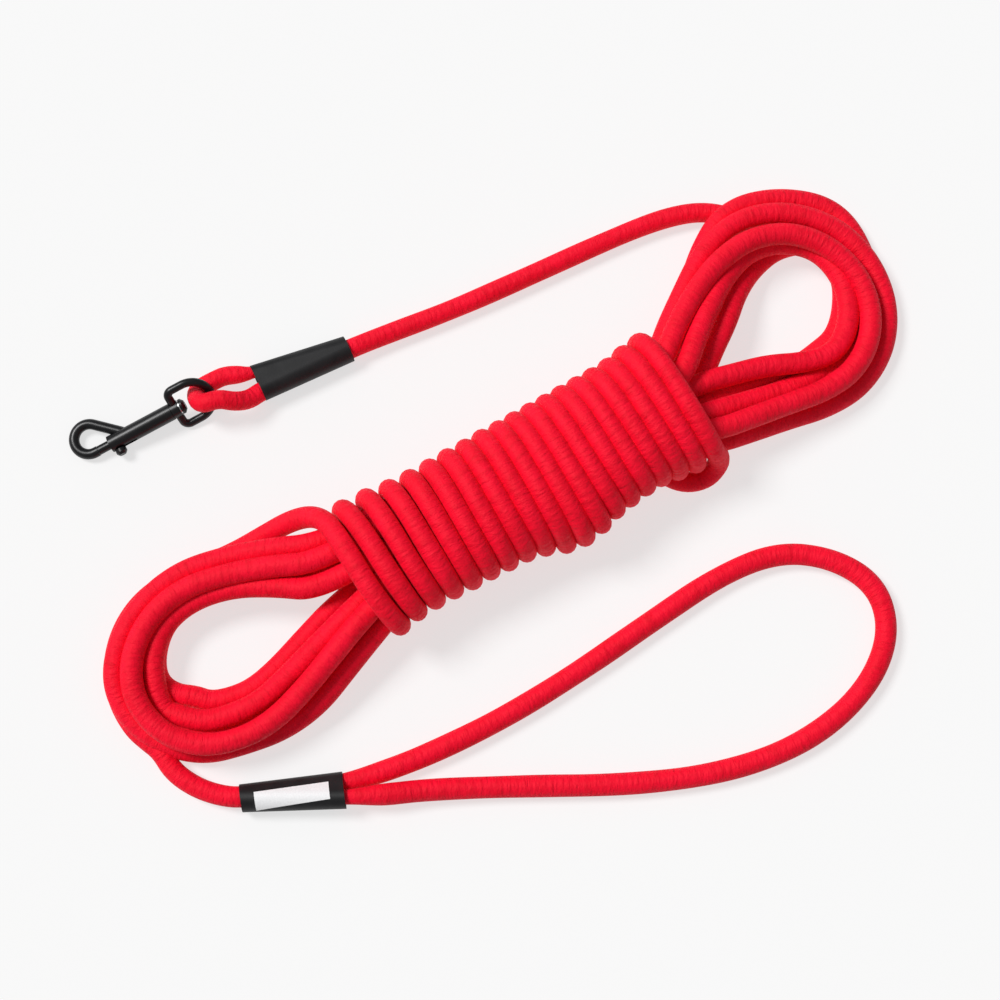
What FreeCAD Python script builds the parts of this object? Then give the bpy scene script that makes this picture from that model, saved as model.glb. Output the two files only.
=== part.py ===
import FreeCAD, Part
import math
import os
import Sketcher
from FreeCAD import Placement, Rotation, Vector

# A lead rope stored as a hank. One 10 mm rope runs from a swivel bolt snap, through a tapered sleeve
# and a straight lead, into a hank whose middle is wrapped, and on through a ferrule to a hand loop.
# Millimetres. +X runs along the hank, +Z is up, and the origin is on the surface that the hank lies
# on, under the middle of its wraps.

SIZES = {
    # rope
    "rope_radius": (5.0, "radius of the 10 mm rope where it lies free"),
    "bight_radius": (4.5, "rope drawn thinner where it is bent round the eye"),
    "sleeve_rope_radius": (4.9, "rope where it leaves the sleeve's or the ferrule's narrow mouth"),
    "tail_end_radius": (3.2, "cut end of the rope, pared down, at the sleeve's wide mouth"),
    "tail_tip_radius": (1.2, "cut end of the rope at its tip"),
    "tail_end_length": (30.0, "cut end inside the sleeve"),
    "loop_strand_radius": (4.0, "rope squeezed at the ferrule's wide mouth"),
    "loop_end_length": (26.0, "second cut end inside the ferrule"),
    "loop_tip_radius": (1.8, "second cut end at its tip"),
    "loop_end_off": (6.45, "second cut end's tip, from the ferrule's axis"),
    "strand_gap": (0.15, "air between two strands side by side"),
    "bight_spread": (9.2, "between the bight's two strands at the sleeve"),
    # hank
    "wrap_start": (-88.0, "left end of the wraps"),
    "wrap_length": (171.0, "length of the wraps along the hank"),
    "wrap_width": (67.0, "outer width of the wraps"),
    "wrap_middle": (2.0, "middle of the wraps' width, from the origin"),
    "wrap_height": (48.0, "outer height of the wraps"),
    "wrap_corner": (19.0, "corner radius of the wrapped section"),
    "loop_height": (36.0, "height of the loose loops"),
    "loop_rounding": (9.0, "rounding of the loops' outer edges"),
    # sleeve
    "sleeve_length": (45.9, "sleeve from mouth to mouth"),
    "sleeve_strand_radius": (5.8, "sleeve round the main strand at the wide mouth"),
    "sleeve_tail_radius": (4.6, "sleeve round the cut end at the wide mouth"),
    "sleeve_spread": (8.0, "distance between those two at the wide mouth"),
    "sleeve_nose_radius": (6.2, "sleeve or ferrule at its narrow mouth"),
    "nose_spread": (0.5, "off-centre of the narrow mouth's second arc"),
    "sleeve_wall": (0.7, "wall of the sleeve and of the ferrule"),
    "thread_gap": (0.03, "air between the whipping and the wall"),
    "whipping_thread": (0.5, "thickness of the whipping thread"),
    "whipping_length": (6.0, "length of one band of whipping"),
    "whipping_rear_start": (4.0, "first band, from the sleeve's wide mouth"),
    "whipping_front_start": (16.0, "second band, from the sleeve's wide mouth"),
    # ferrule
    "ferrule_length": (47.0, "ferrule from mouth to mouth"),
    "ferrule_strand_radius": (5.4, "ferrule round each strand at the wide mouth"),
    "ferrule_spread": (8.15, "distance between the strands at the wide mouth"),
    "ferrule_roll": (145.0, "one strand lies half over the other: the tilt of the line through both"),
    "ferrule_whipping_start": (36.0, "band of whipping, from the narrow mouth"),
    "label_length": (34.0, "label along the ferrule"),
    "label_width": (8.2, "label across the ferrule"),
    "label_start": (6.5, "label from the ferrule's narrow mouth"),
    "label_offset": (-2.9, "label's middle, sideways from the ferrule's line"),
    "label_floor": (2.5, "lowest that the label reaches, from the ferrule's axis"),
    "label_thickness": (0.35, "how far the label stands proud"),
    # snap, along its own axis from the shoulder that the eye turns on
    "barrel_radius": (4.1, "outside of the barrel"),
    "barrel_length": (33.0, "barrel from shoulder to muzzle"),
    "bore_radius": (2.3, "bore that the bolt slides in"),
    "bore_end": (8.0, "bottom of the bore, from the shoulder"),
    "bore_length": (27.0, "bore, drilled in through the muzzle"),
    "pin_hole_depth": (3.0, "depth of the swivel pin's seat"),
    "hook_bar_radius": (2.5, "round bar of the hook"),
    "hook_radius": (7.2, "hook, from its centre to the middle of its bar"),
    "hook_centre": (40.9, "hook's centre, from the shoulder"),
    "hook_root": (24.0, "where the hook's arm leaves the barrel"),
    "hook_root_side": (1.5, "arm's start, sideways from the axis"),
    "hook_nose": (1.5, "straight nose that the bolt meets"),
    "bolt_radius": (2.25, "sliding bolt"),
    "bolt_tip": (-39.1, "bolt's tip on the axis, closed"),
    "bolt_back": (-23.5, "bolt's back on the axis, closed"),
    "knob_place": (29.5, "thumb knob, from the shoulder, closed"),
    "knob_stem_radius": (1.1, "stem of the knob"),
    "knob_seat": (1.2, "stem's inner end, from the axis"),
    "knob_neck": (4.4, "underside of the knob's head, from the axis"),
    "knob_brim": (6.0, "widest part of the knob's head, from the axis"),
    "knob_top": (7.2, "top of the knob, from the axis"),
    "knob_radius": (2.7, "radius of the knob's head"),
    "knob_top_radius": (1.7, "flat top of the knob"),
    "slot_half_width": (1.3, "half width of the knob's slot"),
    "slot_start": (20.2, "rear end of the slot, from the shoulder"),
    "slot_end": (31.0, "front end of the slot, from the shoulder"),
    "spring_radius": (1.85, "spring, to the middle of its wire"),
    "spring_wire": (0.25, "radius of the spring's wire"),
    "spring_turns": (10.0, "turns of the spring"),
    "spring_gap": (0.1, "air at each end of the spring"),
    "pin_tail": (-3.0, "pin's tail, pressed into the barrel"),
    "pin_radius": (2.0, "neck of the swivel pin"),
    "pin_head_start": (4.8, "underside of the pin's head"),
    "pin_head_brim": (5.9, "pin's head, end of its straight side"),
    "pin_head_end": (7.2, "top of the pin's head"),
    "pin_head_radius": (3.7, "radius of the pin's head"),
    "pin_head_top_radius": (2.2, "flat top of the pin's head"),
    "washer_start": (4.25, "washer, from the shoulder"),
    "washer_thickness": (0.5, "washer"),
    "washer_radius": (3.5, "outside of the washer"),
    "running_radius": (2.06, "bearing that turns on the swivel pin"),
    "bearing_length": (8.0, "drill for the bearing, longer than the boss"),
    # swivel eye, in its own plane
    "boss_start": (0.15, "eye's boss, from the shoulder"),
    "boss_length": (4.0, "length of the boss"),
    "boss_radius": (3.9, "outside of the boss"),
    "eye_bar_radius": (2.0, "round bar of the eye"),
    "eye_foot": (2.2, "middle of the cross bar, from the shoulder"),
    "eye_foot_corner": (3.0, "corner between cross bar and limb"),
    "eye_half_width": (10.1, "middle of each limb, from the axis"),
    "eye_shoulder": (10.4, "start of the arched end"),
    "eye_roll": (45.0, "degrees that the eye is turned about the snap's axis"),
    "bight_reach": (7.2, "rope's middle, from the middle of the eye's end bar"),
    "bight_past_bar": (4.4, "how far the bight's strands stay parallel past the bar"),
    # how the snap lies
    "snap_pitch": (7.1, "degrees from level: the hook rests on the floor and the eye stands on edge"),
}

# Where the fittings lie.
SNAP_SHOULDER = Vector(-132.2, 112.4, 8.7)
SLEEVE_WIDE_MOUTH = Vector(-90.2, 103.2, 7.6)
SLEEVE_NOSE = Vector(-44.3, 102.2, 6.4)
FERRULE_NOSE = Vector(-182.2, -65.0, 6.3)
FERRULE_WIDE_MOUTH = Vector(-137.8, -80.3, 5.5)

# The rope's routes where it isn't coiled: points that its middle passes near, one after another.
LEAD_ROUTE = [
    (-44.3, 102.2, 6.4),
    (-24.0, 101.2, 5.3),
    (8.0, 98.2, 5.1),
    (46.0, 96.6, 5.1),
    (84.0, 95.4, 5.1),
    (112.0, 93.6, 5.1),
    (129.0, 90.2, 5.1),
    (139.6, 85.4, 5.1),
    (147.4, 78.6, 5.1),
]
TAIL_ROUTE = [
    (-207.2, -29.0, 5.1),
    (-206.4, -40.5, 5.1),
    (-200.2, -51.5, 5.1),
    (-191.8, -59.6, 5.6),
    (-182.2, -65.0, 6.3),
]
HAND_LOOP_ROUTE = [
    (-137.8, -80.3, 5.5),
    (-120.0, -84.4, 5.1),
    (-96.0, -87.4, 5.1),
    (-60.0, -88.2, 5.1),
    (-20.0, -84.4, 5.1),
    (22.0, -78.4, 5.1),
    (60.0, -73.2, 5.1),
    (90.0, -75.8, 5.1),
    (112.0, -90.6, 5.1),
    (123.6, -111.0, 5.1),
    (119.4, -132.0, 5.1),
    (103.0, -148.4, 5.1),
    (78.0, -158.2, 5.1),
    (48.0, -161.2, 5.1),
    (14.0, -154.0, 5.1),
    (-24.0, -139.6, 5.1),
    (-66.0, -118.6, 5.2),
    (-104.0, -100.8, 6.0),
    (-124.0, -93.6, 9.0),
    (-140.9, -87.9, 11.3),
]
# The bight's strands between the sleeve and the eye. Its turn round the eye's end bar comes from the
# bar itself.
OVER_STRAND = [(-97.4, 102.6, 9.6), (-103.2, 104.4, 14.0)]
UNDER_STRAND = [(-102.4, 117.4, 6.3), (-96.4, 114.8, 6.8)]

# Outlines of the hank's two loose loops and of the openings that they leave, seen from above.
RIGHT_LOOP = [(60, 26), (84, 39), (109, 59), (127, 73), (148, 78), (171, 74), (190, 61), (198, 40),
              (196, 12), (186, -14), (166, -27), (136, -30), (100, -25), (60, -26)]
RIGHT_OPENING = [(116, 12), (127, 29), (140, 38), (152, 50), (166, 46), (174, 36), (171, 20), (158, 7),
                 (138, 4)]
LEFT_LOOP = [(-60, 27), (-98, 38), (-134, 42), (-162, 45), (-184, 41), (-204, 28), (-215, 8),
             (-217, -12), (-207, -29), (-186, -43), (-166, -52), (-144, -52), (-118, -42), (-60, -26)]
LEFT_OPENING = [(-110, -1), (-134, 12), (-158, 23), (-174, 15), (-186, 0), (-176, -12), (-160, -18),
                (-138, -13)]

doc = FreeCAD.newDocument("LeadRope")
sheet = doc.addObject("Spreadsheet::Sheet", "Sizes")
for row, (alias, (number, meaning)) in enumerate(SIZES.items(), start=1):
    sheet.set(f"A{row}", alias)
    sheet.set(f"B{row}", str(number))
    sheet.set(f"C{row}", meaning)
    sheet.setAlias(f"B{row}", alias)
doc.recompute()

along_x = Rotation(Vector(0, 1, 0), 90)


def size(alias):
    return float(sheet.get(alias))


def frame_along(start, end):
    """A placement at start whose X axis points at end and whose Y axis stays level."""
    run = end - start
    yaw = math.degrees(math.atan2(run.y, run.x))
    pitch = -math.degrees(math.atan2(run.z, math.hypot(run.x, run.y)))
    return Placement(start, Rotation(Vector(0, 0, 1), yaw) * Rotation(Vector(0, 1, 0), pitch))


snap_frame = Placement(SNAP_SHOULDER, Rotation(Vector(0, 1, 0), -size("snap_pitch")))
eye_frame = snap_frame * Placement(Vector(), Rotation(Vector(1, 0, 0), size("eye_roll")))
sleeve_frame = frame_along(SLEEVE_WIDE_MOUTH, SLEEVE_NOSE)
ferrule_frame = frame_along(FERRULE_NOSE, FERRULE_WIDE_MOUTH)

subparts = {}


def keep(node, obj):
    """Name a finished sub-part after its node."""
    obj.Label = node
    subparts[node] = obj


def feature(name, shape, placement=Placement()):
    obj = doc.addObject("Part::Feature", name)
    obj.Shape = shape
    obj.Placement = placement
    return obj


def cylinder(name, radius, height, placement):
    """A Part cylinder whose radius and height are bound to the sheet."""
    obj = doc.addObject("Part::Cylinder", name)
    obj.setExpression("Radius", f"Sizes.{radius}")
    obj.setExpression("Height", f"Sizes.{height}")
    obj.Placement = placement
    return obj


def fused(name, parts):
    obj = doc.addObject("Part::MultiFuse", name)
    obj.Shapes = parts
    return obj


def cut(name, base, tool):
    obj = doc.addObject("Part::Cut", name)
    obj.Base = base
    obj.Tool = tool
    return obj


def sketch_on(body, role, name):
    """A sketch flat on one of the body's own origin planes."""
    plane = next(feat for feat in body.Origin.OriginFeatures if feat.Role == role)
    sketch = body.newObject("Sketcher::SketchObject", name)
    sketch.AttachmentSupport = (plane, "")
    sketch.MapMode = "FlatFace"
    return sketch


def closed_profile(sketch, corners):
    """A polygon in the sketch. Each corner is a pair of sheet aliases, or None for zero."""
    places = [[0.0 if alias is None else size(alias) for alias in corner] for corner in corners]
    count = len(corners)
    for here, after in zip(places, places[1:] + places[:1]):
        sketch.addGeometry(Part.LineSegment(Vector(*here, 0), Vector(*after, 0)), False)
    for line in range(count):
        sketch.addConstraint(Sketcher.Constraint("Coincident", line, 2, (line + 1) % count, 1))
    for line, corner in enumerate(corners):
        for kind, alias, number in zip(("DistanceX", "DistanceY"), corner, places[line]):
            index = sketch.addConstraint(Sketcher.Constraint(kind, -1, 1, line, 1, number))
            if alias is not None:
                sketch.setExpression(f"Constraints[{index}]", f"Sizes.{alias}")


def turned(name, corners, placement):
    """A piece turned about its own X axis. The corners are its half profile, along and out."""
    body = doc.addObject("PartDesign::Body", name)
    sketch = sketch_on(body, "XY_Plane", name + "_profile")
    closed_profile(sketch, corners)
    turning = body.newObject("PartDesign::Revolution", name + "_turning")
    turning.Profile = sketch
    turning.ReferenceAxis = (sketch, ["H_Axis"])
    turning.Angle = 360
    body.Placement = placement
    return body


# ---- rope where it lies free ----


def tube_path(points):
    """Straight runs joined by tangent arcs, each as large as its shorter run allows."""
    points = [Vector(*point) for point in points]
    edges = []
    radii = []
    start = points[0]
    for before, corner, after in zip(points, points[1:], points[2:]):
        run_in = corner - before
        run_out = after - corner
        half_turn = run_in.getAngle(run_out) / 2
        tangent = 0.45 * min(run_in.Length, run_out.Length)
        radius = tangent / math.tan(half_turn)
        run_in.normalize()
        run_out.normalize()
        arc_start = corner - run_in * tangent
        arc_end = corner + run_out * tangent
        inward = run_out - run_in
        inward.normalize()
        middle = corner + inward * (radius / math.cos(half_turn) - radius)
        edges.append(Part.LineSegment(start, arc_start).toShape())
        edges.append(Part.Arc(arc_start, middle, arc_end).toShape())
        radii.append(round(radius, 1))
        start = arc_end
    edges.append(Part.LineSegment(start, points[-1]).toShape())
    return Part.Wire(edges), radii


def rope_stretch(node, points, radius):
    """A round tube along a route, its volume checked against its section times its length."""
    path, radii = tube_path(points)
    heading = Vector(*points[1]) - Vector(*points[0])
    ring = Part.Wire(Part.makeCircle(radius, Vector(*points[0]), heading))
    shape = path.makePipeShell([ring], True, False)
    ratio = shape.Volume / (math.pi * radius**2 * path.Length)
    print(f"{node}: {path.Length:.1f} mm long, volume ratio {ratio:.4f}, arc radii {radii}")
    if abs(ratio - 1) > 0.01:
        raise RuntimeError(f"{node}: the tube's volume doesn't match its length")
    keep(node, feature(node + "_tube", shape))


def make_bight():
    """The rope from the sleeve's wide mouth, round the eye's end bar and back to the sleeve."""
    reach = size("bight_reach")
    bar = size("eye_shoulder") + size("eye_half_width")
    past = bar + size("bight_past_bar")
    turn = [(past, reach), (bar - reach, reach), (bar - reach, -reach), (past, -reach)]
    round_bar = [tuple(eye_frame * Vector(along, 0, up)) for along, up in turn]
    back_in = tuple(sleeve_frame * Vector(0, size("bight_spread"), 0))
    route = [tuple(SLEEVE_WIDE_MOUTH), *OVER_STRAND, *round_bar, *UNDER_STRAND, back_in]
    rope_stretch("rope_bight", route, size("bight_radius"))


# ---- hank ----


def loose_loop(name, outline, opening):
    """A loop of many turns as one plain solid, open in the middle and rounded outside."""
    body = doc.addObject("PartDesign::Body", name)
    sketch = sketch_on(body, "XY_Plane", name + "_outline")
    for points in (outline, opening):
        curve = Part.BSplineCurve()
        curve.interpolate([Vector(*point, 0) for point in points], PeriodicFlag=True)
        sketch.addGeometry(curve, False)
    pad = body.newObject("PartDesign::Pad", name + "_pad")
    pad.Profile = sketch
    pad.setExpression("Length", "Sizes.loop_height")
    doc.recompute()
    edges = pad.Shape.Edges
    longest = max(edge.Length for edge in edges)
    rims = [f"Edge{number}" for number, edge in enumerate(edges, start=1) if edge.Length > 0.98 * longest]
    rounding = body.newObject("PartDesign::Fillet", name + "_rounding")
    rounding.Base = (pad, rims)
    rounding.setExpression("Radius", "Sizes.loop_rounding")
    return body


def wrapped_middle():
    """The wraps and the strands inside them as one rounded block."""
    body = doc.addObject("PartDesign::Body", "wraps")
    block = body.newObject("PartDesign::AdditiveBox", "wraps_block")
    for side, alias in (("Length", "wrap_length"), ("Width", "wrap_width"), ("Height", "wrap_height")):
        block.setExpression(side, f"Sizes.{alias}")
    doc.recompute()
    long_edges = [f"Edge{number}" for number, edge in enumerate(block.Shape.Edges, start=1)
                  if edge.BoundBox.XLength > size("wrap_length") / 2]
    rounding = body.newObject("PartDesign::Fillet", "wraps_rounding")
    rounding.Base = (block, long_edges)
    rounding.setExpression("Radius", "Sizes.wrap_corner")
    edge = size("wrap_middle") - size("wrap_width") / 2
    body.Placement = Placement(Vector(size("wrap_start"), edge, 0), Rotation())
    return body


def make_hank():
    loops = [loose_loop("right_loop", RIGHT_LOOP, RIGHT_OPENING),
             loose_loop("left_loop", LEFT_LOOP, LEFT_OPENING)]
    keep("rope_hank", fused("hank", [wrapped_middle(), *loops]))


# ---- sleeve and ferrule, with the strands that they hold ----


def two_strand_outline(along, main_radius, second_radius, spread, roll):
    """The tight outline round two circles: one on the axis, the other spread away and rolled up."""
    lean = math.asin((main_radius - second_radius) / spread)
    across = math.sin(lean)
    height = math.cos(lean)
    top_main = Vector(0, main_radius * across, main_radius * height)
    top_second = Vector(0, spread + second_radius * across, second_radius * height)
    low_main = Vector(0, top_main.y, -top_main.z)
    low_second = Vector(0, top_second.y, -top_second.z)
    edges = [
        Part.LineSegment(top_main, top_second).toShape(),
        Part.Arc(top_second, Vector(0, spread + second_radius, 0), low_second).toShape(),
        Part.LineSegment(low_second, low_main).toShape(),
        Part.Arc(low_main, Vector(0, -main_radius, 0), top_main).toShape(),
    ]
    wire = Part.Wire(edges)
    wire.rotate(Vector(), Vector(1, 0, 0), roll)
    wire.translate(Vector(along, 0, 0))
    return wire


class Fitting:
    """A tapered black tube that grips two strands: its ends' outlines, length, roll and place."""

    def __init__(self, ends, length, roll, frame):
        self.ends = ends
        self.length = length
        self.roll = roll
        self.frame = frame

    def loft(self, grow=0.0, start=0.0, length=None):
        """The fitting's outer form, grown or shrunk, over part of its length."""
        stop = self.length if length is None else start + length

        def outline(along):
            share = along / self.length
            main, second, spread = [a + (b - a) * share for a, b in zip(*self.ends)]
            return two_strand_outline(along, main + grow, second + grow, spread, self.roll)

        return Part.makeLoft([outline(start), outline(stop)], True, True)

    def shell(self, node):
        hollow = self.loft().cut(self.loft(-size("sleeve_wall")))
        keep(node, feature(node + "_shell", hollow, self.frame))

    def whipping(self, node, start):
        """A band of thread wound round the strands, just inside the wall."""
        outer = -size("sleeve_wall") - size("thread_gap")
        band = self.loft(outer, start, size("whipping_length"))
        inner = self.loft(outer - size("whipping_thread"), start, size("whipping_length"))
        keep(node, feature(node + "_thread", band.cut(inner), self.frame))

    def strand(self, node, start, stop, radii):
        """A straight stretch of rope inside. Each end is its place along and its distance off axis."""
        angle = math.radians(self.roll)
        here, there = [Vector(along, off * math.cos(angle), off * math.sin(angle))
                       for along, off in (start, stop)]
        run = there - here
        keep(node, feature(node + "_cone", Part.makeCone(*radii, run.Length, here, run), self.frame))


def make_sleeve():
    wide = [size("sleeve_strand_radius"), size("sleeve_tail_radius"), size("sleeve_spread")]
    nose = [size("sleeve_nose_radius"), size("sleeve_nose_radius"), size("nose_spread")]
    length = size("sleeve_length")
    sleeve = Fitting((wide, nose), length, 0, sleeve_frame)
    sleeve.shell("sleeve")
    sleeve.whipping("whipping_rear", size("whipping_rear_start"))
    sleeve.whipping("whipping_front", size("whipping_front_start"))
    main_radii = size("bight_radius"), size("sleeve_rope_radius")
    sleeve.strand("rope_in_sleeve", (0, 0), (length, 0), main_radii)
    gap = size("strand_gap")
    tail_length = size("tail_end_length")
    tail_radii = size("tail_end_radius"), size("tail_tip_radius")
    mouth_off = main_radii[0] + gap + tail_radii[0]
    tip_off = main_radii[1] + gap + tail_radii[1]
    sleeve.strand("rope_cut_end", (0, mouth_off), (tail_length, tip_off), tail_radii)


def make_ferrule():
    nose = [size("sleeve_nose_radius"), size("sleeve_nose_radius"), size("nose_spread")]
    wide = [size("ferrule_strand_radius"), size("ferrule_strand_radius"), size("ferrule_spread")]
    length = size("ferrule_length")
    ferrule = Fitting((nose, wide), length, size("ferrule_roll"), ferrule_frame)
    ferrule.shell("ferrule")
    ferrule.whipping("whipping_loop", size("ferrule_whipping_start"))
    radius = size("loop_strand_radius")
    ferrule.strand("rope_in_ferrule", (0, 0), (length, 0), (size("sleeve_rope_radius"), radius))
    end = length - size("loop_end_length")
    end_off = size("loop_end_off")
    ferrule.strand("rope_loop_end", (length, size("ferrule_spread")), (end, end_off),
                   (radius, size("loop_tip_radius")))
    corner = Vector(size("label_start"), size("label_offset") - size("label_width") / 2, size("label_floor"))
    label_block = Part.makeBox(size("label_length"), size("label_width"), 3 * size("ferrule_spread"), corner)
    skin = ferrule.loft(size("label_thickness")).cut(ferrule.loft())
    keep("label_patch", feature("label_skin", skin.common(label_block), ferrule_frame))


# ---- snap ----


def on_snap(along, side=0.0, rotation=along_x):
    """A placement on the snap's axis, that far from the shoulder and to that side."""
    return snap_frame * Placement(Vector(along, side, 0), rotation)


def make_snap_body():
    """Barrel and hook in one casting, bored for the bolt and slotted for its knob."""
    hook_radius = size("hook_radius")
    centre = Vector(-size("hook_centre"), hook_radius, 0)
    root = Vector(-size("hook_root"), size("hook_root_side"), 0)
    reach = centre - root
    touch_angle = math.atan2(reach.y, reach.x) - math.asin(hook_radius / reach.Length) - math.pi / 2

    def on_hook(angle):
        return centre + Vector(math.cos(angle), math.sin(angle), 0) * hook_radius

    touch = on_hook(touch_angle)
    low = on_hook(-math.pi / 2)
    nose = low + Vector(size("hook_nose"), 0, 0)
    path = Part.Wire([
        Part.LineSegment(root, touch).toShape(),
        Part.Arc(touch, on_hook(math.pi), low).toShape(),
        Part.LineSegment(low, nose).toShape(),
    ])
    ring = Part.Wire(Part.makeCircle(size("hook_bar_radius"), root, touch - root))
    hook = feature("hook_bar", path.makePipeShell([ring], True, False), snap_frame)
    barrel = cylinder("barrel", "barrel_radius", "barrel_length", on_snap(-size("barrel_length")))
    bore = cylinder("bore", "bore_radius", "bore_length", on_snap(-size("bore_end") - size("bore_length")))
    pin_seat = cylinder("pin_seat", "pin_radius", "pin_hole_depth", on_snap(-size("pin_hole_depth")))
    slot = doc.addObject("Part::Box", "knob_slot")
    slot.setExpression("Length", "Sizes.slot_end - Sizes.slot_start")
    slot.setExpression("Width", "2 * Sizes.barrel_radius")
    slot.setExpression("Height", "2 * Sizes.slot_half_width")
    slot.Placement = on_snap(-size("slot_end"), -2 * size("barrel_radius"), Rotation())
    slot.Placement = slot.Placement * Placement(Vector(0, 0, -size("slot_half_width")), Rotation())
    casting = fused("snap_casting", [barrel, hook])
    keep("snap_body", cut("snap_bored", casting, fused("snap_hollows", [bore, pin_seat, slot])))


def make_bolt():
    """The sliding bolt and its thumb knob, whose stem stands in the bolt through the slot."""
    rod = turned("bolt_rod", [("bolt_tip", None), ("bolt_tip", "bolt_radius"),
                              ("bolt_back", "bolt_radius"), ("bolt_back", None)], snap_frame)
    outward = Rotation(Vector(1, 0, 0), 90)
    seat = cylinder("knob_seat_hole", "knob_stem_radius", "knob_neck",
                    on_snap(-size("knob_place"), -size("knob_seat"), outward))
    keep("snap_bolt", cut("bolt_drilled", rod, seat))
    knob = turned("knob", [("knob_seat", None), ("knob_seat", "knob_stem_radius"),
                           ("knob_neck", "knob_stem_radius"), ("knob_neck", "knob_radius"),
                           ("knob_brim", "knob_radius"), ("knob_top", "knob_top_radius"),
                           ("knob_top", None)],
                  on_snap(-size("knob_place"), 0, Rotation(Vector(0, 0, 1), -90)))
    keep("thumb_knob", knob)


def make_spring():
    """The coil spring between the bolt's back and the bottom of the bore."""
    clear = size("spring_gap") + size("spring_wire")
    start = size("bolt_back") + clear
    span = -size("bore_end") - clear - start
    radius = size("spring_radius")
    helix = Part.makeHelix(span / size("spring_turns"), span, radius)
    wire = Part.Wire(Part.makeCircle(size("spring_wire"), Vector(radius, 0, 0), Vector(0, 1, 0)))
    spring = Part.Wire(helix).makePipeShell([wire], True, True)
    keep("bolt_spring", feature("spring_coil", spring, on_snap(start)))


def make_swivel():
    """The pin that the eye turns on, and the washer under its head."""
    pin = turned("pin", [("pin_tail", None), ("pin_tail", "pin_radius"),
                         ("pin_head_start", "pin_radius"), ("pin_head_start", "pin_head_radius"),
                         ("pin_head_brim", "pin_head_radius"), ("pin_head_end", "pin_head_top_radius"),
                         ("pin_head_end", None)], snap_frame)
    keep("swivel_pin", pin)
    place = on_snap(size("washer_start"))
    disc = cylinder("washer_disc", "washer_radius", "washer_thickness", place)
    hole = cylinder("washer_hole", "running_radius", "washer_thickness", place)
    keep("swivel_washer", cut("washer_ring", disc, hole))


def make_eye():
    """The stirrup-shaped eye: cross bar with a boss, two limbs and an arched end."""
    foot = size("eye_foot")
    half = size("eye_half_width")
    corner = size("eye_foot_corner")
    shoulder = size("eye_shoulder")
    bevel = corner * (1 - math.sqrt(0.5))

    def limb(side):
        bend_start = Vector(foot, side * (half - corner), 0)
        bend_middle = Vector(foot + bevel, side * (half - bevel), 0)
        bend_end = Vector(foot + corner, side * half, 0)
        return [
            Part.LineSegment(Vector(foot, 0, 0), bend_start).toShape(),
            Part.Arc(bend_start, bend_middle, bend_end).toShape(),
            Part.LineSegment(bend_end, Vector(shoulder, side * half, 0)).toShape(),
        ]

    arch = Part.Arc(Vector(shoulder, half, 0), Vector(shoulder + half, 0, 0), Vector(shoulder, -half, 0))
    path = Part.Wire([*limb(1), arch.toShape(), *reversed(limb(-1))])
    ring = Part.Wire(Part.makeCircle(size("eye_bar_radius"), Vector(foot, 0, 0), Vector(0, 1, 0)))
    bar = feature("eye_bar", path.makePipeShell([ring], True, False), eye_frame)
    boss = cylinder("eye_boss", "boss_radius", "boss_length", on_snap(size("boss_start")))
    bearing = cylinder("eye_bearing", "running_radius", "bearing_length", on_snap(-size("boss_start")))
    keep("swivel_eye", cut("eye_bored", fused("eye_casting", [bar, boss]), bearing))


rope_stretch("rope_lead", LEAD_ROUTE, size("rope_radius"))
rope_stretch("rope_tail", TAIL_ROUTE, size("rope_radius"))
rope_stretch("rope_hand_loop", HAND_LOOP_ROUTE, size("rope_radius"))
make_bight()
make_hank()
make_sleeve()
make_ferrule()
make_snap_body()
make_bolt()
make_spring()
make_swivel()
make_eye()
doc.recompute()

for obj in doc.Objects:
    if "Invalid" in obj.State or "Error" in obj.State:
        raise RuntimeError(f"{obj.Label} did not compute: {obj.State}")
os.makedirs("parts", exist_ok=True)
for node, obj in subparts.items():
    shape = obj.Shape
    if shape.isNull() or not shape.isValid() or not shape.Solids:
        raise RuntimeError(f"{node} is not a valid solid")
    shape.exportStep(f"parts/{node}.step")
    print(f"{node}: {len(shape.Solids)} solid(s), {shape.Volume:.0f} mm3, lowest {shape.BoundBox.ZMin:.2f}")
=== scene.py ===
"""Looks of the lead rope: one long red rope in a wrapped hank, with its snap, sleeve, ferrule and label."""
import math

import bpy
import numpy as np
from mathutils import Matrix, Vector


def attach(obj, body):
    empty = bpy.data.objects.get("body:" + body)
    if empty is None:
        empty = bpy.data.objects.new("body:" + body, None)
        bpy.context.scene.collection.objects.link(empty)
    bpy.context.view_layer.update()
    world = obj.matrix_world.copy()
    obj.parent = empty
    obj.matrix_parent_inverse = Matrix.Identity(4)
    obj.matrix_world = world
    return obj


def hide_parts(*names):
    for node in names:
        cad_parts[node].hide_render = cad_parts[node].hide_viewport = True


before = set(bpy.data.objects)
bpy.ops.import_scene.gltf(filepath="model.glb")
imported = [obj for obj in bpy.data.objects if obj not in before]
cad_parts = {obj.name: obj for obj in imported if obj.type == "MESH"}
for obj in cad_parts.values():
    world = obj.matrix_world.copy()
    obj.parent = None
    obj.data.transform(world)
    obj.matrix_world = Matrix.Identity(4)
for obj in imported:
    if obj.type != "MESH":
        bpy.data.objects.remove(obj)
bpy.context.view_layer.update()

MM = 0.001


# ---- the rope's route ----

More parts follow.
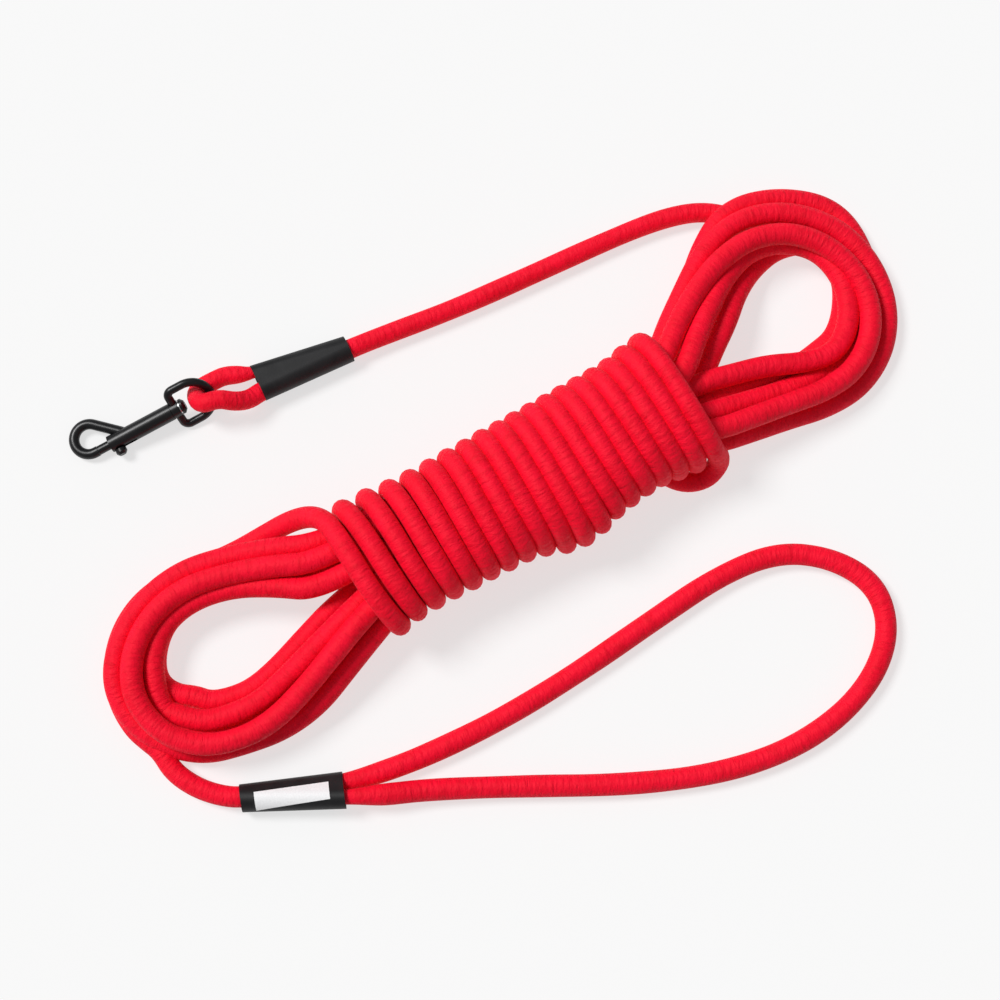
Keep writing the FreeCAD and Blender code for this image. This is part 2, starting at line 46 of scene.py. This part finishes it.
# Where the rope isn't coiled, its control points follow the CAD tubes to within a few millimetres.
# They are in metres.
CUT_END = [
    (-0.0631, 0.1089, 0.0068),
    (-0.0760, 0.1103, 0.0072),
    (-0.0900, 0.1122, 0.0076),
]
BIGHT = [
    (-0.0964, 0.1148, 0.0068),
    (-0.1024, 0.1174, 0.0063),
    (-0.1069, 0.1175, 0.0067),
    (-0.1184, 0.1175, 0.0053),
    (-0.1193, 0.1073, 0.0152),
    (-0.1100, 0.1058, 0.0168),
    (-0.1042, 0.1018, 0.0142),
    (-0.0974, 0.1006, 0.0096),
    (-0.0902, 0.1024, 0.0076),
]
LEAD = [
    (-0.0670, 0.1027, 0.0070),
    (-0.0443, 0.1022, 0.0064),
    (-0.0240, 0.1008, 0.0053),
    (0.0080, 0.0975, 0.0051),
    (0.0460, 0.0958, 0.0051),
    (0.0840, 0.0946, 0.0051),
    (0.1120, 0.0929, 0.0051),
    (0.1290, 0.0896, 0.0051),
    (0.1396, 0.0850, 0.0051),
    (0.1474, 0.0786, 0.0051),
    (0.1560, 0.0725, 0.0051),
]
TAIL = [
    (-0.2056, -0.0290, 0.0051),
    (-0.2046, -0.0400, 0.0051),
    (-0.1988, -0.0507, 0.0051),
    (-0.1910, -0.0590, 0.0056),
    (-0.1822, -0.0650, 0.0063),
    (-0.1600, -0.0727, 0.0059),
]
HAND_LOOP = [
    (-0.1378, -0.0803, 0.0055),
    (-0.1200, -0.0838, 0.0051),
    (-0.0960, -0.0864, 0.0051),
    (-0.0600, -0.0872, 0.0051),
    (-0.0200, -0.0842, 0.0051),
    (0.0220, -0.0786, 0.0051),
    (0.0600, -0.0739, 0.0051),
    (0.0900, -0.0765, 0.0051),
    (0.1114, -0.0909, 0.0051),
    (0.1230, -0.1108, 0.0051),
    (0.1188, -0.1314, 0.0051),
    (0.1025, -0.1476, 0.0051),
    (0.0777, -0.1575, 0.0051),
    (0.0480, -0.1600, 0.0051),
    (0.0140, -0.1540, 0.0051),
    (-0.0240, -0.1396, 0.0051),
    (-0.0660, -0.1186, 0.0052),
    (-0.1040, -0.1008, 0.0060),
    (-0.1240, -0.0936, 0.0090),
    (-0.1400, -0.0866, 0.0102),
    (-0.1600, -0.0785, 0.0090),
]

# The hank, in millimetres. Its loops follow one middle line at each end, from the upper side of the
# wraps round to the lower side. Each turn runs so far outside that line, and so high, at every
# second point of it.
RIGHT_LINE = [
    (78, 22), (92, 35), (108, 47), (126, 56), (145, 60), (163, 56), (177, 44), (184, 27),
    (183, 9), (175, -7), (161, -17.5), (143, -21.5), (124, -21), (106, -18.5), (88, -16),
]
LEFT_LINE = [
    (-103, 14), (-122, 22), (-142, 28), (-162, 31), (-180, 27), (-194, 17), (-202, 4), (-204, -10),
    (-199, -25), (-187, -37), (-170, -42.5), (-152, -42), (-134, -36), (-116, -28), (-98, -20),
]
RIGHT_TURNS = {
    "outer": ([-4, 0.5, 20, 23.5, 2.5, -6, -8.2, -4.2], [8, 8.7, 12.5, 5.2, 5.1, 5.1, 7.5, 16]),
    "second": ([2.5, 4, 12.2, 12.8, 12, 7.6, 2, 3], [25, 21, 17.5, 12, 6.2, 5.2, 6.7, 12.5]),
    "top": ([-0.6, -1, -0.4, 0.4, 2.1, 0.8, -2.2, 0.2], [33, 28.4, 23, 18, 14.5, 15.5, 20.4, 28]),
    "inner": (
        [-12, -10.3, -3.6, -1.4, -7.9, -12.4, -23.4, -24.5],
        [33, 25.5, 14.5, 11.3, 13.3, 13.7, 17.4, 24],
    ),
    "lowest": ([-20, -20.4, -10, 5, -9.6, -19, -19.4, -17], [18, 18.5, 6.5, 5.1, 5.1, 5.1, 6.7, 15]),
    "first": ([11, 11, 11, 9.5, -2.4, -9.6, -10.6, -10.1], [5.1, 5.1, 5.1, 5.1, 5.1, 5.1, 11.8, 22]),
}
LEFT_TURNS = {
    "outer": ([7, 8.2, 9, 10.4, 4.6, 1, 7.8, 8], [26.6, 18.8, 14.7, 13, 6.6, 5.5, 11.3, 19]),
    "top": ([-2.4, -0.7, 0.9, 1.3, 0.7, 0.1, -0.2, 0.6], [31, 24, 19.1, 18.5, 16.5, 17.5, 21.6, 29.8]),
    "inner": ([-14.3, -6, -5.2, -8.8, -6.8, -7.9, -6.4, -1], [27, 18.2, 13.5, 12.9, 7.6, 5.7, 9.8, 16.5]),
    "lowest": ([-5.6, -0.9, -3.5, -9.3, -21.7, -21, -18, -15], [16.5, 5.9, 5.1, 5.1, 5.1, 5.3, 7.9, 14]),
    "under": ([-2, 3.8, 4.2, 1, -10.1, -12.6, -10.8, -6.2], [18.6, 7.7, 5.1, 5.4, 10.5, 12.3, 15.9, 24.5]),
}

# Inside the wraps ten strands lie in rows of three, four and three. A slot is so many strands to the
# side and so many rows up from the bundle's middle. All in millimetres.
BUNDLE_MIDDLE = 3.5
BUNDLE_HEIGHT = 24.5
STRAND_PITCH = 10.4
ROW_PITCH = 9.0
BUNDLE_REACH = 58.0
BUNDLE_SHARES = (0.0, 0.33, 0.67, 1.0)
SLOTS = {
    "T1": (-1, 1), "T2": (0, 1), "T3": (1, 1),
    "M1": (-1.5, 0), "M2": (-0.5, 0), "M3": (0.5, 0), "M4": (1.5, 0),
    "B1": (-1, -1), "B2": (0, -1), "B3": (1, -1),
}

# The rope's way through the hank: which loop, which turn, which way round (+1 from the upper side to
# the lower), and the bundle slot that it then crosses in, at its near end and at its far end. Two
# pairs of strands swap slots, and pass through each other halfway.
WAY = [
    ("right", "first", 1, "M2", "B2"),
    ("left", "lowest", -1, "B3", "B3"),
    ("right", "lowest", 1, "B2", "M2"),
    ("left", "under", -1, "M3", "M3"),
    ("right", "inner", -1, "T2", "T2"),
    ("left", "inner", 1, "B1", "B1"),
    ("right", "second", -1, "M4", "T3"),
    ("left", "top", 1, "T1", "T1"),
    ("right", "top", -1, "T3", "M4"),
    ("left", "outer", 1, "M1", "M1"),
    ("right", "outer", -1, None, None),
]

# The lead joins its turn of the right loop at this point of the loop's line.
LEAD_JOINS = 6

# The wraps: nineteen turns round the bundle, made from right to left, in millimetres. Roundness 2 is an
# ellipse, and more is squarer. The last wrap made ends when it is over the top.
WRAPS = 19
WRAP_POINTS = 16
WRAP_HALF_HEIGHT = 19.3
WRAP_MIDDLE_HEIGHT = 24.5
WRAP_ROUNDNESS = 2.5
LAST_WRAP_TURN = 0.25

# Where each wrap is along the hank at its lower and its upper side, as a polynomial in the number of
# wraps from the middle one. The wrap made first leans a little more.
MIDDLE_WRAP = 11
LOWER_SIDE = (11.4, 9.05, -0.030)
UPPER_SIDE = (6.2, 8.33, -0.070, 0.012)
FIRST_WRAP_LEAN = 0.4

# How far the wraps reach to the +Y and the -Y side: the reach at the origin, its change along the hank,
# and the swells as (wrap, spread in wraps, size).
UPPER_REACH = 30.0
UPPER_WIDENING = 0.046
UPPER_SWELLS = ((WRAPS, 1.4, 3.7), (2.2, 1.5, 3.0))
LOWER_REACH = -25.7
LOWER_WIDENING = 0.010
LOWER_SWELLS = ((11.6, 1.5, -6.8), (1, 1.3, -4.5), (16.6, 1.4, 2.4))

# From the last turn's upper side under the bundle to the wraps' first bend, and from the last wrap
# round the left loop to the tail.
TO_WRAPS = [
    (66, 12, 9), (59, 0, 9), (57.5, -11, 9), (60, -21, 7.5), (67.5, -28.5, 5.6), (77, -30.8, 6.5),
    (84, -28, 12), (84.5, -26, 20),
]
FROM_WRAPS = [
    (-89.5, 8, 43.5), (-90.5, 18.5, 40), (-92, 27.5, 34), (-97, 33.8, 26.5), (-106, 37.2, 19.5),
    (-117.5, 38.2, 13), (-135, 38.2, 7.6), (-151.6, 39.8, 5.2),
    (-166.9, 40.8, 5.1), (-183.8, 38, 5.1), (-198.4, 29.3, 5.1), (-208.8, 16, 5.1),
    (-213, 1.2, 5.1), (-212.4, -13.5, 5.1), (-208.6, -22.5, 5.1),
]


def middle_line(points, offsets, heights):
    """One turn of a loop: the middle line moved outward, in millimetres."""
    line = np.array(points, float)
    along = np.gradient(line, axis=0)
    along /= np.linalg.norm(along, axis=1)[:, None]
    outward = np.stack([-along[:, 1], along[:, 0]], 1)
    if line[:, 0].mean() < 0:
        outward = -outward
    places = np.arange(len(line)) / 2
    stations = np.arange(len(offsets))
    moved = line + outward * np.interp(places, stations, offsets)[:, None]
    return np.column_stack([moved, np.interp(places, stations, heights)])


def slot_place(name):
    """A bundle slot's place across the hank and its height."""
    side, row = SLOTS[name]
    return BUNDLE_MIDDLE + side * STRAND_PITCH, BUNDLE_HEIGHT + row * ROW_PITCH


def through_bundle(start, stop, side):
    """A strand's points through the wraps, towards side (-1 is left)."""
    here, there = slot_place(start), slot_place(stop)
    points = []
    for share in BUNDLE_SHARES:
        x = -side * BUNDLE_REACH * (1 - 2 * share)
        y, z = [a + (b - a) * share for a, b in zip(here, there)]
        points.append((x, y, z))
    return points


def hank_turns():
    """All loose turns of the hank, from the lead to the first wrap."""
    route = []
    for loop, turn, way, start, stop in WAY:
        if loop == "right":
            points = middle_line(RIGHT_LINE, *RIGHT_TURNS[turn])
        else:
            points = middle_line(LEFT_LINE, *LEFT_TURNS[turn])
        if turn == "first":
            points = points[LEAD_JOINS:]
        route += [tuple(p) for p in points[::way]]
        if start:
            route += through_bundle(start, stop, -1 if loop == "right" else 1)
    return route


def swelled(wrap, swells):
    """How far the wraps are moved out or in at a wrap, by strands that push them or leave room."""
    return sum(size * math.exp(-((wrap - place) / spread) ** 2) for place, spread, size in swells)


def wrap_section(angle, wrap):
    """The wrapped section at an angle from the +Y side, over the top: across and up."""
    x = wrap_place(wrap, 0.5)
    upper = UPPER_REACH + UPPER_WIDENING * x + swelled(wrap, UPPER_SWELLS)
    lower = LOWER_REACH + LOWER_WIDENING * x + swelled(wrap, LOWER_SWELLS)
    middle, half = (upper + lower) / 2, (upper - lower) / 2
    power = 2 / WRAP_ROUNDNESS
    across = math.copysign(abs(math.cos(angle)) ** power, math.cos(angle))
    up = math.copysign(abs(math.sin(angle)) ** power, math.sin(angle))
    return middle + half * across, WRAP_MIDDLE_HEIGHT + WRAP_HALF_HEIGHT * up


def polynomial(factors, value):
    return sum(factor * value ** power for power, factor in enumerate(factors))


def wrap_place(wrap, over):
    """Where a wrap is along the hank: over is 0 at its lower side and 1 at its upper side."""
    lower = polynomial(LOWER_SIDE, wrap - MIDDLE_WRAP)
    upper = polynomial(UPPER_SIDE, wrap - MIDDLE_WRAP)
    if wrap == WRAPS:
        lower += FIRST_WRAP_LEAN
    return lower + (upper - lower) * over


def wraps():
    """All wraps, from the first bend at the right end to the top of the last one."""
    route = []
    for wrap in range(WRAPS, 0, -1):
        for step in range(WRAP_POINTS):
            turned = (step + 0.5) / WRAP_POINTS
            angle = math.pi - 2 * math.pi * turned
            if wrap == 1 and turned > LAST_WRAP_TURN:
                break
            if turned < 0.5:
                x = wrap_place(wrap, turned * 2)
            else:
                under = turned * 2 - 1
                x = wrap_place(wrap, 1) * (1 - under) + wrap_place(wrap - 1, 0) * under
            y, z = wrap_section(angle, wrap)
            route.append((x, y, z))
    return route


class Route:
    """Control points of the rope's spline in metres, with the rope's half width and half height at each.

    Wrapped is 1 where the rope goes round the bundle and 0 elsewhere.
    """

    def __init__(self):
        self.points = []
        self.girths = []
        self.wrapped = []

    def add(self, points, width, height, wrapped=0.0, scale=1.0):
        for point in points:
            self.points.append([c * scale for c in point])
            self.girths.append((width, height))
            self.wrapped.append(wrapped)


def rope_route():
    """The whole rope, from the cut end in the sleeve to the end in the ferrule, with its girth."""
    route = Route()
    route.add(CUT_END, 0.0026, 0.0026)
    route.add(BIGHT[:3], 0.0044, 0.0044)
    route.add(BIGHT[3:], 0.0046, 0.0044)
    route.add(LEAD, 0.0047, 0.0048)
    route.add(hank_turns(), 0.0052, 0.0050, scale=MM)
    route.add(TO_WRAPS, 0.0050, 0.0049, scale=MM)
    route.add(wraps(), 0.0049, 0.0052, wrapped=1.0, scale=MM)
    route.add(FROM_WRAPS, 0.0050, 0.0049, scale=MM)
    route.add(TAIL, 0.0048, 0.0047)
    route.add(HAND_LOOP[:1], 0.0042, 0.0042)
    route.add(HAND_LOOP[1:-2], 0.0051, 0.0050)
    route.add(HAND_LOOP[-2:], 0.0030, 0.0030)
    return route


# ---- the rope's mesh ----

RING_STEP = 2.0 * MM
RING_SIDES = 16
SPLINE_STEPS = 12
ROPE_RADIUS = 5.0 * MM

# The rope's slight unevenness along its length: waves as (share of the girth, per metre, start).
WAVES = ((0.012, 61, 0.0), (0.010, 143, 1.7))


def spline_line(route):
    """Points along the NURBS spline, and the value of its parameter at each, in control points."""
    curve = bpy.data.curves.new("rope_line", "CURVE")
    curve.dimensions = "3D"
    spline = curve.splines.new("NURBS")
    spline.points.add(len(route.points) - 1)
    for point, place in zip(spline.points, route.points):
        point.co = (*place, 1.0)
    spline.order_u = 3
    spline.use_endpoint_u = True
    spline.resolution_u = SPLINE_STEPS
    holder = bpy.data.objects.new("rope_line", curve)
    bpy.context.scene.collection.objects.link(holder)
    bpy.context.view_layer.update()
    read = bpy.data.meshes.new_from_object(holder.evaluated_get(bpy.context.evaluated_depsgraph_get()))
    line = np.empty(len(read.vertices) * 3)
    read.vertices.foreach_get("co", line)
    line = line.reshape(-1, 3)
    bpy.data.objects.remove(holder)
    bpy.data.meshes.remove(read)
    bpy.data.curves.remove(curve)
    share = np.linspace(0, len(route.points) - 2, len(line)) + 0.5
    return line, share


def evenly(line, values, step):
    """The line and its values again, at equal steps along it."""
    runs = np.linalg.norm(np.diff(line, axis=0), axis=1)
    along = np.concatenate([[0], np.cumsum(runs)])
    places = np.linspace(0, along[-1], round(along[-1] / step) + 1)
    spread = [np.interp(places, along, column) for column in np.column_stack([line, values]).T]
    table = np.column_stack(spread)
    return places, table[:, :3], table[:, 3:]


def smooth(values, rounds):
    """Each row averaged with its neighbours, so many times."""
    for _ in range(rounds):
        padded = np.pad(values, ((1, 1), (0, 0)), mode="edge")
        values = (padded[:-2] + 2 * padded[1:-1] + padded[2:]) / 4
    return values


def cross_directions(centres, wrapped):
    """The directions of the rope's width and height at each ring, square to the line."""
    along = np.gradient(centres, axis=0)
    along /= np.linalg.norm(along, axis=1)[:, None]
    level = np.cross(along, (0.0, 0.0, 1.0))
    side = level * (1 - wrapped) + np.array([1.0, 0.0, 0.0]) * wrapped
    side -= along * (side * along).sum(1)[:, None]
    side = smooth(side, 2)
    side /= np.linalg.norm(side, axis=1)[:, None]
    up = np.cross(side, along)
    up /= np.linalg.norm(up, axis=1)[:, None]
    return side, up


def tube_faces(rings):
    """Quads between neighbouring rings, and one face to close each end."""
    index = np.arange(rings * RING_SIDES).reshape(rings, RING_SIDES)
    after = np.roll(index, -1, axis=1)
    quads = np.stack([index[:-1], after[:-1], after[1:], index[1:]], -1).reshape(-1, 4)
    faces = [tuple(q) for q in quads.tolist()]
    faces.append(tuple(reversed(index[0].tolist())))
    faces.append(tuple(index[-1].tolist()))
    return faces


def rope_rings(places, centres, values):
    """The rings' points as they lie, and as they would lie if the rope were straight."""
    side, up = cross_directions(centres, values[:, 2:])
    uneven = 1 + sum(share * np.sin(places * rate + start) for share, rate, start in WAVES)
    angles = np.arange(RING_SIDES) * 2 * math.pi / RING_SIDES
    turn_side, turn_up = np.cos(angles), np.sin(angles)
    wide = (values[:, 0] * uneven)[:, None, None]
    high = (values[:, 1] * uneven)[:, None, None]
    rings = (
        centres[:, None, :]
        + wide * turn_side[None, :, None] * side[:, None, :]
        + high * turn_up[None, :, None] * up[:, None, :]
    )
    straight = np.empty_like(rings)
    straight[..., 0] = places[:, None]
    straight[..., 1] = ROPE_RADIUS * turn_side[None, :]
    straight[..., 2] = ROPE_RADIUS * turn_up[None, :]
    return rings, straight


def make_rope(route, finish):
    """The rope's mesh, its centreline and its length."""
    line, share = spline_line(route)
    columns = np.column_stack([np.array(route.girths), np.array(route.wrapped)])
    values = np.column_stack([np.interp(share, np.arange(len(columns)), c) for c in columns.T])
    places, centres, values = evenly(line, values, RING_STEP)
    rings, straight = rope_rings(places, centres, smooth(values, 3))

    mesh = bpy.data.meshes.new("rope")
    mesh.from_pydata(rings.reshape(-1, 3).tolist(), [], tube_faces(len(places)))
    mesh.polygons.foreach_set("use_smooth", [True] * len(mesh.polygons))
    stored = mesh.attributes.new("straight_rope", "FLOAT_VECTOR", "POINT")
    stored.data.foreach_set("vector", straight.reshape(-1))
    mesh.materials.append(finish)
    rope = bpy.data.objects.new("rope", mesh)
    bpy.context.scene.collection.objects.link(rope)
    return rope, centres, places[-1]


# ---- materials ----


def new_material(name):
    """A new material, with its nodes, links and shader."""
    material = bpy.data.materials.new(name)
    material.use_nodes = True
    nodes = material.node_tree.nodes
    return material, nodes, material.node_tree.links, nodes["Principled BSDF"]


def noise(nodes, links, vector, scale, detail=3.0, roughness=0.5):
    """Noise from 0 to 1."""
    made = nodes.new("ShaderNodeTexNoise")
    made.inputs["Scale"].default_value = scale
    made.inputs["Detail"].default_value = detail
    made.inputs["Roughness"].default_value = roughness
    links.new(vector, made.inputs["Vector"])
    return made.outputs["Fac"]


def ramp(nodes, links, value, stops):
    """A colour ramp: stops are (place, colour)."""
    made = nodes.new("ShaderNodeValToRGB")
    first, last = made.color_ramp.elements[0], made.color_ramp.elements[1]
    first.position, first.color = stops[0][0], (*stops[0][1], 1)
    last.position, last.color = stops[-1][0], (*stops[-1][1], 1)
    for place, colour in stops[1:-1]:
        made.color_ramp.elements.new(place).color = (*colour, 1)
    links.new(value, made.inputs["Fac"])
    return made.outputs["Color"]


def stretched(nodes, links, vector, scale):
    """A vector scaled along each axis."""
    made = nodes.new("ShaderNodeMapping")
    made.inputs["Scale"].default_value = scale
    links.new(vector, made.inputs["Vector"])
    return made.outputs["Vector"]


def bump(nodes, links, height, distance, strength=1.0, before=None):
    """A bumped normal, on top of the one before."""
    made = nodes.new("ShaderNodeBump")
    made.inputs["Distance"].default_value = distance
    made.inputs["Strength"].default_value = strength
    links.new(height, made.inputs["Height"])
    if before:
        links.new(before, made.inputs["Normal"])
    return made.outputs["Normal"]


def rope_material():
    """Red rope with fine crosswise wrinkles, laid along the rope's length, with painted shade darkening its
    colour in the wrinkles' valleys.
    """
    material, nodes, links, shader = new_material("red_rope")
    read = nodes.new("ShaderNodeAttribute")
    read.attribute_name = "straight_rope"
    straight = read.outputs["Vector"]
    wrinkles = noise(nodes, links, stretched(nodes, links, straight, (1.0, 0.3, 0.3)), 520, 3.0, 0.6)
    grain = noise(nodes, links, straight, 1500, 2.0, 0.6)
    patches = noise(nodes, links, straight, 90, 2.0, 0.5)
    normal = bump(nodes, links, wrinkles, 0.0011, 1.0)
    normal = bump(nodes, links, grain, 0.00022, 0.8, normal)
    links.new(normal, shader.inputs["Normal"])
    colour = ramp(nodes, links, patches, [(0.3, (0.86, 0.002, 0.022)), (0.7, (0.97, 0.003, 0.030))])
    # Painted shade: the red is darkened where the wrinkles dip, standing in for the shade in their valleys.
    painted_crease_shade = ramp(nodes, links, wrinkles, [(0.3, (0.86, 0.75, 0.75)), (0.48, (1.0, 1.0, 1.0))])
    shaded = nodes.new("ShaderNodeMix")
    shaded.data_type = "RGBA"
    shaded.blend_type = "MULTIPLY"
    shaded.inputs["Factor"].default_value = 1.0
    links.new(colour, shaded.inputs["A"])
    links.new(painted_crease_shade, shaded.inputs["B"])
    links.new(shaded.outputs["Result"], shader.inputs["Base Color"])
    shader.inputs["Roughness"].default_value = 0.6
    shader.inputs["Specular IOR Level"].default_value = 0.15
    shader.inputs["Sheen Weight"].default_value = 0.05
    shader.inputs["Sheen Roughness"].default_value = 0.4
    shader.inputs["Sheen Tint"].default_value = (1.0, 0.4, 0.5, 1)
    return material


def black_rubber():
    """Satin black of the sleeve and the ferrule."""
    material, nodes, links, shader = new_material("black_rubber")
    place = nodes.new("ShaderNodeTexCoord").outputs["Object"]
    grain = noise(nodes, links, place, 1600, 3.0, 0.6)
    links.new(bump(nodes, links, grain, 0.00006, 0.6), shader.inputs["Normal"])
    patches = noise(nodes, links, place, 120, 2.0)
    colour = ramp(nodes, links, patches, [(0.3, (0.005, 0.005, 0.006)), (0.7, (0.012, 0.012, 0.013))])
    links.new(colour, shader.inputs["Base Color"])
    shader.inputs["Roughness"].default_value = 0.5
    shader.inputs["Specular IOR Level"].default_value = 0.3
    return material


def black_paint():
    """Black paint of the snap."""
    material, nodes, links, shader = new_material("black_paint")
    place = nodes.new("ShaderNodeTexCoord").outputs["Object"]
    peel = noise(nodes, links, place, 500, 2.0)
    links.new(bump(nodes, links, peel, 0.00002, 0.4), shader.inputs["Normal"])
    patches = noise(nodes, links, place, 200, 2.0)
    colour = ramp(nodes, links, patches, [(0.3, (0.002, 0.002, 0.003)), (0.7, (0.005, 0.005, 0.006))])
    links.new(colour, shader.inputs["Base Color"])
    shader.inputs["Roughness"].default_value = 0.34
    shader.inputs["Specular IOR Level"].default_value = 0.4
    return material


def spring_steel():
    """Bright steel of the spring and the washer."""
    material, nodes, links, shader = new_material("spring_steel")
    place = nodes.new("ShaderNodeTexCoord").outputs["Object"]
    patches = noise(nodes, links, place, 900, 2.0)
    colour = ramp(nodes, links, patches, [(0.3, (0.42, 0.42, 0.43)), (0.7, (0.6, 0.6, 0.61))])
    links.new(colour, shader.inputs["Base Color"])
    shader.inputs["Metallic"].default_value = 1.0
    shader.inputs["Roughness"].default_value = 0.3
    return material


def waxed_thread():
    """Dark thread of the whippings."""
    material, nodes, links, shader = new_material("waxed_thread")
    place = nodes.new("ShaderNodeTexCoord").outputs["Object"]
    strands = noise(nodes, links, stretched(nodes, links, place, (3.0, 1.0, 1.0)), 900, 2.0)
    links.new(bump(nodes, links, strands, 0.0002, 0.8), shader.inputs["Normal"])
    colour = ramp(nodes, links, strands, [(0.3, (0.03, 0.03, 0.03)), (0.7, (0.08, 0.08, 0.08))])
    links.new(colour, shader.inputs["Base Color"])
    shader.inputs["Roughness"].default_value = 0.6
    return material


def white_label():
    """Plain white patch."""
    material, nodes, links, shader = new_material("white_label")
    place = nodes.new("ShaderNodeTexCoord").outputs["Object"]
    weave = noise(nodes, links, place, 1400, 2.0)
    links.new(bump(nodes, links, weave, 0.00005, 0.5), shader.inputs["Normal"])
    colour = ramp(nodes, links, weave, [(0.3, (0.80, 0.80, 0.81)), (0.7, (0.88, 0.88, 0.89))])
    links.new(colour, shader.inputs["Base Color"])
    shader.inputs["Roughness"].default_value = 0.5
    return material


def dress(finish, *nodes):
    """Gives CAD nodes a finish."""
    for node in nodes:
        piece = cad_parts[node]
        for place in piece.material_slots:
            place.link = "OBJECT"
            place.material = finish


route = rope_route()
rope, rope_centres, rope_length = make_rope(route, rope_material())
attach(rope, "root")
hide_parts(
    "rope_bight", "rope_in_sleeve", "rope_cut_end", "rope_lead", "rope_hank", "rope_tail",
    "rope_in_ferrule", "rope_loop_end", "rope_hand_loop",
)
print("rope length", round(float(rope_length), 3), "rings", len(rope_centres))

dress(black_rubber(), "sleeve", "ferrule")
dress(waxed_thread(), "whipping_rear", "whipping_front", "whipping_loop")
dress(white_label(), "label_patch")
dress(black_paint(), "snap_body", "snap_bolt", "thumb_knob", "swivel_pin", "swivel_eye")
dress(spring_steel(), "bolt_spring", "swivel_washer")


# ---- floor, light and camera ----


def make_floor():
    """A wide pale floor that also glows a little, so that it stays nearly white."""
    mesh = bpy.data.meshes.new("floor")
    reach = 6.0
    corners = [(-reach, -reach, 0), (reach, -reach, 0), (reach, reach, 0), (-reach, reach, 0)]
    mesh.from_pydata(corners, [], [(0, 1, 2, 3)])
    material, nodes, links, shader = new_material("pale_floor")
    shader.inputs["Base Color"].default_value = (0.28, 0.28, 0.28, 1)
    shader.inputs["Roughness"].default_value = 0.9
    shader.inputs["Specular IOR Level"].default_value = 0.0
    shader.inputs["Emission Color"].default_value = (1, 1, 1, 1)
    shader.inputs["Emission Strength"].default_value = 0.66
    mesh.materials.append(material)
    floor = bpy.data.objects.new("floor", mesh)
    bpy.context.scene.collection.objects.link(floor)


def make_sun(name, strength, spread, direction):
    """A sun lamp that shines along direction; spread in degrees softens its shadows."""
    light = bpy.data.lights.new(name, "SUN")
    light.energy = strength
    light.angle = math.radians(spread)
    lamp = bpy.data.objects.new(name, light)
    lamp.rotation_euler = Vector(direction).to_track_quat("-Z", "Y").to_euler()
    bpy.context.scene.collection.objects.link(lamp)


def make_world(strength):
    """Even white light from all round."""
    world = bpy.data.worlds.new("studio")
    world.use_nodes = True
    ground = world.node_tree.nodes["Background"]
    ground.inputs["Color"].default_value = (1, 1, 1, 1)
    ground.inputs["Strength"].default_value = strength
    bpy.context.scene.world = world


def make_camera():
    """The camera, nearly overhead."""
    eye = Vector((-0.1142, -0.1905, 1.0371))
    target = Vector((-0.0144, 0.0037, 0.0100))
    data = bpy.data.cameras.new("camera")
    data.sensor_width = 36.0
    data.lens = 81.1
    data.clip_start = 0.01
    camera = bpy.data.objects.new("camera", data)
    camera.location = eye
    camera.rotation_euler = (target - eye).to_track_quat("-Z", "Y").to_euler()
    bpy.context.scene.collection.objects.link(camera)
    bpy.context.scene.camera = camera


make_floor()
make_world(0.30)
make_sun("key", 2.8, 20, (0.46, -0.58, -1.0))
make_camera()
bpy.context.scene.view_settings.view_transform = "Standard"
